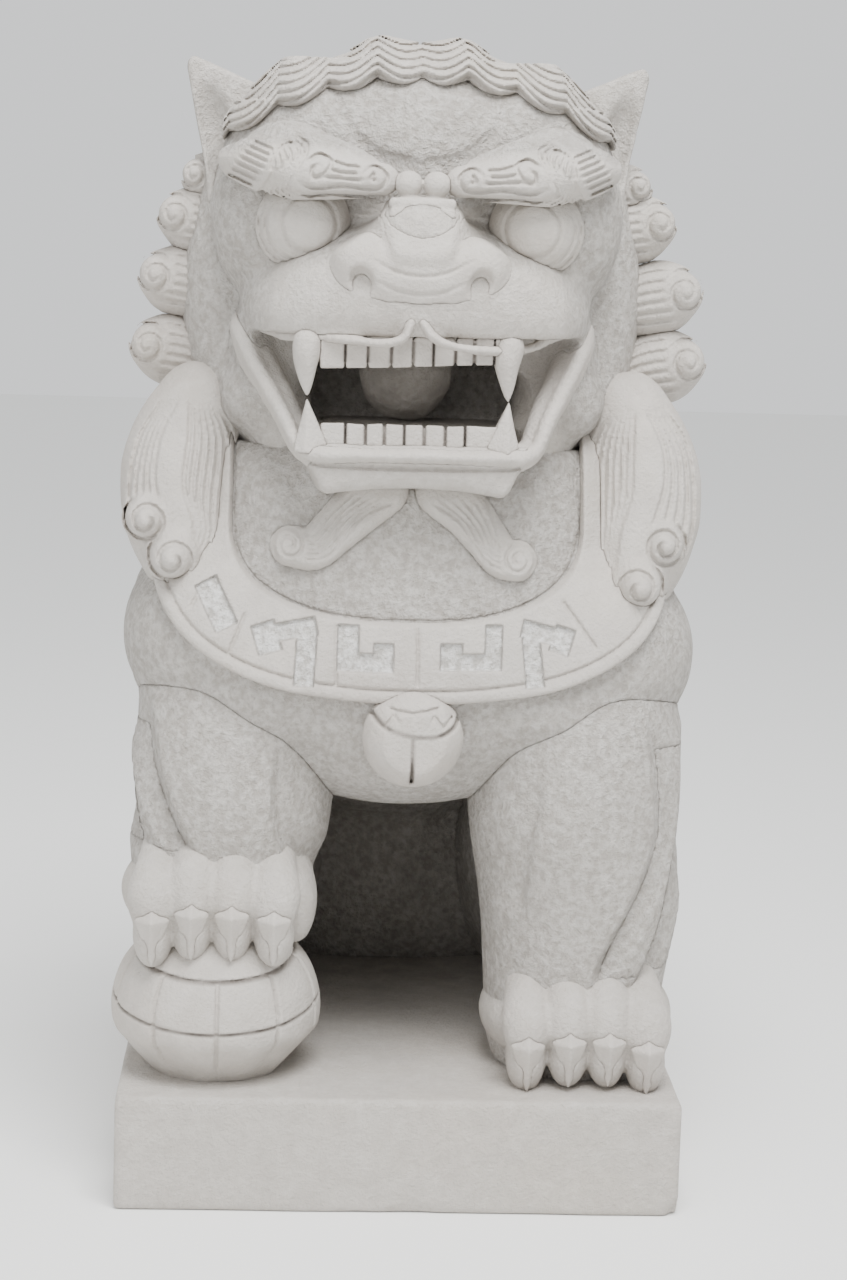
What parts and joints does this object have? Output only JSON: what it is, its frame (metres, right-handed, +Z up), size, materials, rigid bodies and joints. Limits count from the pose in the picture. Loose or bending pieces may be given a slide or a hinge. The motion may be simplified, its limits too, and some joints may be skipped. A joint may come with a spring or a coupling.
{
  "type": "foo dog statue",
  "caption": "Seated guardian lion statue of carved pale stone on a square-edged plinth, one forepaw on a ball, a loose pearl in its open mouth.",
  "frame": {"origin": "centre of the plinth's underside", "axes": "+Z up; the lion faces -Y, and its own left side is +X"},
  "size_m": [0.64, 0.76, 1.1982],
  "materials": {
    "bush_hammered_stone": "bush-hammered",
    "ground_stone": "smooth-ground",
    "stone_in_the_mouth": "rough-pecked and sooty"
  },
  "bodies": {
    "root": {"plinth": "ground_stone", "ball": "ground_stone", "foreleg_right": "bush_hammered_stone", "foreleg_left": "bush_hammered_stone", "leg_fringe_right": "bush_hammered_stone", "leg_fringe_left": "bush_hammered_stone", "paw_right": "ground_stone", "paw_left": "ground_stone", "claws_right": "ground_stone", "claws_left": "ground_stone", "torso": "bush_hammered_stone", "shoulder_right": "bush_hammered_stone", "shoulder_left": "bush_hammered_stone", "rump": "bush_hammered_stone", "haunch_right": "bush_hammered_stone", "haunch_left": "bush_hammered_stone", "hind_paw_right": "ground_stone", "hind_paw_left": "ground_stone", "tail": "ground_stone", "bib": "ground_stone", "breast": "bush_hammered_stone", "bell": "ground_stone", "beard_lock_right": "ground_stone", "beard_lock_left": "ground_stone", "mane_lock_right": "ground_stone", "mane_lock_left": "ground_stone", "mane_curl_right_1": "ground_stone", "mane_curl_right_2": "ground_stone", "mane_curl_right_3": "ground_stone", "mane_curl_right_4": "ground_stone", "mane_curl_left_1": "ground_stone", "mane_curl_left_2": "ground_stone", "mane_curl_left_3": "ground_stone", "mane_curl_left_4": "ground_stone", "crown_curls": "ground_stone", "mane_back": "bush_hammered_stone", "nape_curls": "ground_stone", "throat": "bush_hammered_stone", "head": "bush_hammered_stone", "cheek_right": "ground_stone", "cheek_left": "ground_stone", "muzzle": "ground_stone", "nose": "ground_stone", "brow_right": "ground_stone", "brow_left": "ground_stone", "brow_beads": "ground_stone", "eye_right": "ground_stone", "eye_left": "ground_stone", "ear_right": "bush_hammered_stone", "ear_left": "bush_hammered_stone", "upper_lip": "ground_stone", "upper_teeth": "ground_stone", "upper_fangs": "ground_stone", "lower_jaw": "ground_stone", "lower_lip": "ground_stone", "lower_teeth": "ground_stone", "lower_fangs": "ground_stone", "tongue": "stone_in_the_mouth"},
    "pearl": {"mouth_pearl": "stone_in_the_mouth"}
  },
  "joints": [
    {"name": "pearl_slide", "type": "slide", "parent": "root", "child": "pearl", "axis": [1, 0, 0], "range_m": [-0.05, 0.066]}
  ]
}
